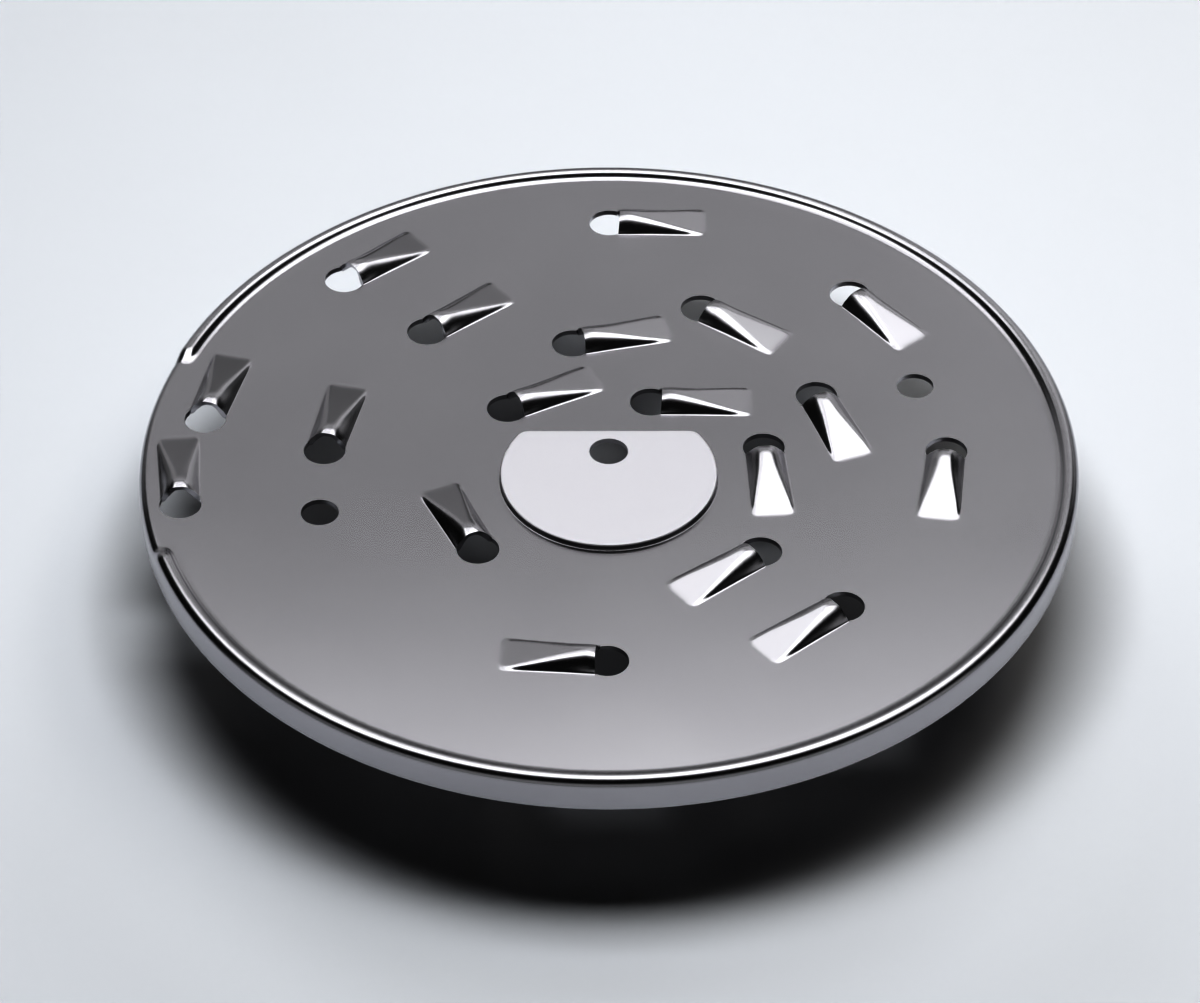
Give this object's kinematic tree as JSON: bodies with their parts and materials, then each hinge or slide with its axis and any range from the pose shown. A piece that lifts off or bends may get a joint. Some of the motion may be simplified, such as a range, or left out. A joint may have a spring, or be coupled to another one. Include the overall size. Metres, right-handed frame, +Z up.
{
  "type": "food processor grating disc",
  "caption": "Round pressed-steel grating disc with a skirt, a raised rim open on one side, a raised D-shaped drive pad with a bore, and a spiral of hollow raised teeth over round holes.",
  "frame": {"origin": "on the disc's axis, at the level of the skirt's lower edge", "axes": "+Z up along the axis that the disc turns on, out of the toothed face; +Y towards the flat side of the D pad; +X to the right of it seen from above"},
  "size_m": [0.175, 0.175, 0.0081],
  "materials": {
    "steel": "satin"
  },
  "bodies": {
    "root": {"grating_disc": "steel"}
  },
  "joints": []
}
